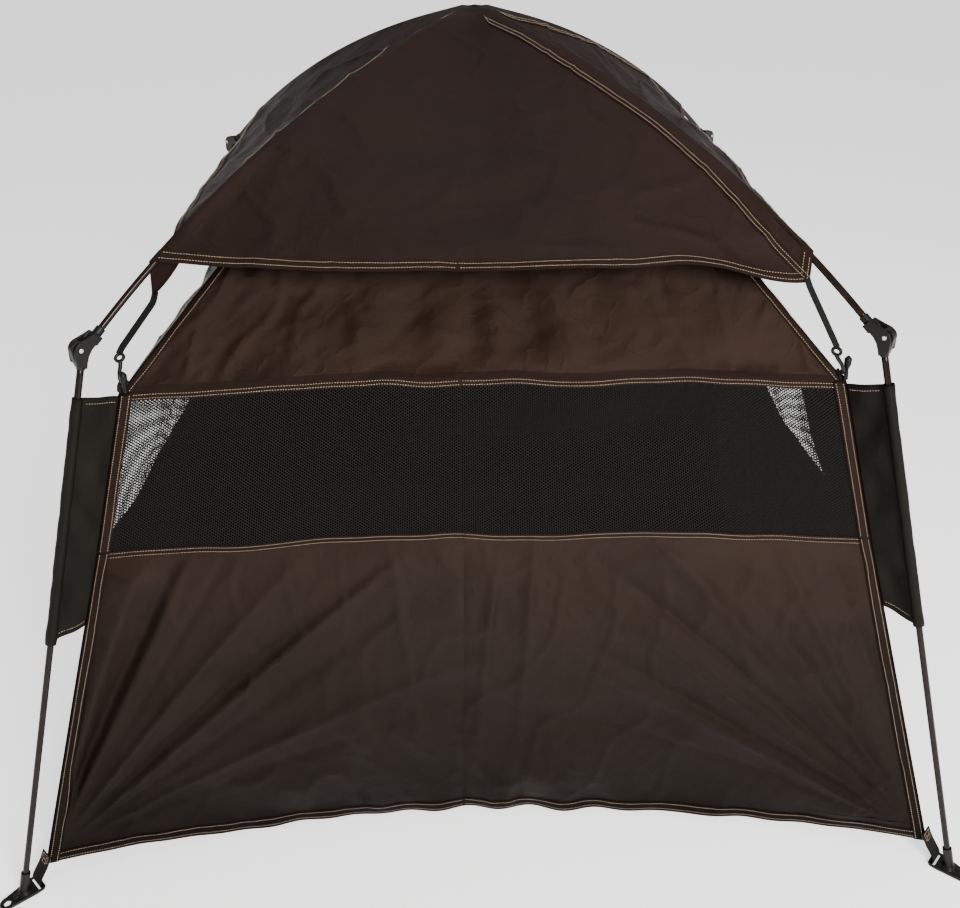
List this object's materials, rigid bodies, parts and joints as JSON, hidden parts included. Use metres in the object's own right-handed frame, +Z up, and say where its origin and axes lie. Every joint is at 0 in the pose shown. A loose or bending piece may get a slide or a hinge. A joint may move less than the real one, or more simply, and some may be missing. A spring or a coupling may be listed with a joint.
{
  "type": "pop up ground blind shelter",
  "caption": "Square pop-up shelter on an outside frame: bowed arms and elbows, feet with stake holes, sewn body with mesh window band, roof fly and crawl door.",
  "frame": {"origin": "middle of the footprint, on the ground under the feet", "axes": "+Z up, -Y towards the front panel, +X to the right seen from the front"},
  "size_m": [1.5626, 1.5626, 1.2099],
  "materials": {
    "plastic_black": "satin moulded plastic",
    "pin_steel": "plain steel pins",
    "rod_dark": "glossy dark bronze coated rod",
    "rivet_steel": "bright rivet heads",
    "webbing_black": "flat woven webbing",
    "cloth_brown": "dark brown woven polyester, slight sheen",
    "mesh_black": "open hexagonal mesh",
    "cloth_black": "matt black cloth",
    "cloth_floor": "matt black groundsheet",
    "zip_metal": "plain zip slider"
  },
  "bodies": {
    "hub": {"hub_body": "plastic_black", "hub_pins": "pin_steel"},
    "upper_fl": {"arm_fl": "rod_dark", "elbow_socket_fl": "plastic_black", "elbow_rivet_fl": "rivet_steel", "fly_fl": "cloth_brown", "roof_fl": "cloth_brown", "fly_hook_fl": "webbing_black"},
    "upper_fr": {"arm_fr": "rod_dark", "elbow_socket_fr": "plastic_black", "elbow_rivet_fr": "rivet_steel", "fly_fr": "cloth_brown", "roof_fr": "cloth_brown", "fly_hook_fr": "webbing_black"},
    "upper_rl": {"arm_rl": "rod_dark", "elbow_socket_rl": "plastic_black", "elbow_rivet_rl": "rivet_steel", "fly_rl": "cloth_brown", "roof_rl": "cloth_brown", "fly_hook_rl": "webbing_black"},
    "upper_rr": {"arm_rr": "rod_dark", "elbow_socket_rr": "plastic_black", "elbow_rivet_rr": "rivet_steel", "fly_rr": "cloth_brown", "roof_rr": "cloth_brown", "fly_hook_rr": "webbing_black"},
    "lower_fl": {"leg_fl": "rod_dark", "elbow_knuckle_fl": "plastic_black", "foot_fl": "plastic_black", "foot_strap_fl": "webbing_black", "window_fl": "mesh_black", "wall_fl": "cloth_brown", "wing_fl": "cloth_black"},
    "lower_fr": {"leg_fr": "rod_dark", "elbow_knuckle_fr": "plastic_black", "foot_fr": "plastic_black", "foot_strap_fr": "webbing_black", "window_fr": "mesh_black", "wall_fr": "cloth_brown", "wing_fr": "cloth_black"},
    "lower_rl": {"leg_rl": "rod_dark", "elbow_knuckle_rl": "plastic_black", "foot_rl": "plastic_black", "foot_strap_rl": "webbing_black", "window_rl": "mesh_black", "wall_rl": "cloth_brown", "wing_rl": "cloth_black"},
    "lower_rr": {"leg_rr": "rod_dark", "elbow_knuckle_rr": "plastic_black", "foot_rr": "plastic_black", "foot_strap_rr": "webbing_black", "window_rr": "mesh_black", "wall_rr": "cloth_brown", "wing_rr": "cloth_black"},
    "ground_fl": {"floor_fl": "cloth_floor"},
    "ground_fr": {"floor_fr": "cloth_floor"},
    "ground_rl": {"floor_rl": "cloth_floor"},
    "ground_rr": {"floor_rr": "cloth_floor"},
    "door": {"door_panel": "cloth_brown"},
    "slider": {"zip_slider": "zip_metal"}
  },
  "joints": [
    {"name": "arm_pivot_fl", "type": "hinge", "parent": "hub", "child": "upper_fl", "pos_m": [-0.02687, -0.02687, 1.188], "axis": [0.7071, -0.7071, 0], "range_deg": [0, 42], "deforming": ["fly_fl", "fly_fr", "fly_rl", "fly_rr", "roof_fl", "roof_fr", "roof_rl", "roof_rr", "window_fl", "window_fr", "window_rl", "window_rr", "wall_fl", "wall_fr", "wall_rl", "wall_rr", "wing_fl", "wing_fr", "wing_rl", "wing_rr", "fly_hook_fl", "fly_hook_fr", "fly_hook_rl", "fly_hook_rr", "floor_fl", "floor_fr", "floor_rl", "floor_rr", "foot_strap_fl", "foot_strap_fr", "foot_strap_rl", "foot_strap_rr", "door_panel", "zip_slider"]},
    {"name": "arm_pivot_fr", "type": "hinge", "parent": "hub", "child": "upper_fr", "pos_m": [0.02687, -0.02687, 1.188], "axis": [0.7071, 0.7071, 0], "range_deg": [0, 42]},
    {"name": "arm_pivot_rl", "type": "hinge", "parent": "hub", "child": "upper_rl", "pos_m": [-0.02687, 0.02687, 1.188], "axis": [-0.7071, -0.7071, 0], "range_deg": [0, 42]},
    {"name": "arm_pivot_rr", "type": "hinge", "parent": "hub", "child": "upper_rr", "pos_m": [0.02687, 0.02687, 1.188], "axis": [-0.7071, 0.7071, 0], "range_deg": [0, 42]},
    {"name": "elbow_fl", "type": "hinge", "parent": "upper_fl", "child": "lower_fl", "pos_m": [-0.54396, -0.54396, 0.8636], "axis": [-0.7071, 0.7071, 0], "range_deg": [0, 22.05]},
    {"name": "elbow_fr", "type": "hinge", "parent": "upper_fr", "child": "lower_fr", "pos_m": [0.54396, -0.54396, 0.8636], "axis": [-0.7071, -0.7071, 0], "range_deg": [0, 22.05]},
    {"name": "elbow_rl", "type": "hinge", "parent": "upper_rl", "child": "lower_rl", "pos_m": [-0.54396, 0.54396, 0.8636], "axis": [0.7071, 0.7071, 0], "range_deg": [0, 22.05]},
    {"name": "elbow_rr", "type": "hinge", "parent": "upper_rr", "child": "lower_rr", "pos_m": [0.54396, 0.54396, 0.8636], "axis": [0.7071, -0.7071, 0], "range_deg": [0, 22.05]},
    {"name": "floor_edge_fl", "type": "hinge", "parent": "lower_fl", "child": "ground_fl", "pos_m": [-0.70993, -0.70993, 0.0026], "axis": [0.7071, -0.7071, 0], "range_deg": [0, 49.05]},
    {"name": "floor_edge_fr", "type": "hinge", "parent": "lower_fr", "child": "ground_fr", "pos_m": [0.70993, -0.70993, 0.0026], "axis": [0.7071, 0.7071, 0], "range_deg": [0, 49.05]},
    {"name": "floor_edge_rl", "type": "hinge", "parent": "lower_rl", "child": "ground_rl", "pos_m": [-0.70993, 0.70993, 0.0026], "axis": [-0.7071, -0.7071, 0], "range_deg": [0, 49.05]},
    {"name": "floor_edge_rr", "type": "hinge", "parent": "lower_rr", "child": "ground_rr", "pos_m": [0.70993, 0.70993, 0.0026], "axis": [-0.7071, 0.7071, 0], "range_deg": [0, 49.05]},
    {"name": "door_hinge", "type": "hinge", "parent": "lower_rr", "child": "door", "pos_m": [0.43, 0.6475, 0.07], "axis": [0, 0.1774, -0.9841], "range_deg": [0, 110]},
    {"name": "zip_slide", "type": "slide", "parent": "lower_rr", "child": "slider", "axis": [0, -0.1326, 0.9912], "range_m": [0, 0.4]}
  ],
  "couplings": [
    {"joint": "arm_pivot_fr", "follows": "arm_pivot_fl", "ratio": 1},
    {"joint": "arm_pivot_rl", "follows": "arm_pivot_fl", "ratio": 1},
    {"joint": "arm_pivot_rr", "follows": "arm_pivot_fl", "ratio": 1},
    {"joint": "elbow_fl", "follows": "arm_pivot_fl", "ratio": 0.52381},
    {"joint": "elbow_fr", "follows": "arm_pivot_fl", "ratio": 0.52381},
    {"joint": "elbow_rl", "follows": "arm_pivot_fl", "ratio": 0.52381},
    {"joint": "elbow_rr", "follows": "arm_pivot_fl", "ratio": 0.52381},
    {"joint": "floor_edge_fl", "follows": "arm_pivot_fl", "ratio": 1.1667},
    {"joint": "floor_edge_fr", "follows": "arm_pivot_fl", "ratio": 1.1667},
    {"joint": "floor_edge_rl", "follows": "arm_pivot_fl", "ratio": 1.1667},
    {"joint": "floor_edge_rr", "follows": "arm_pivot_fl", "ratio": 1.1667}
  ]
}
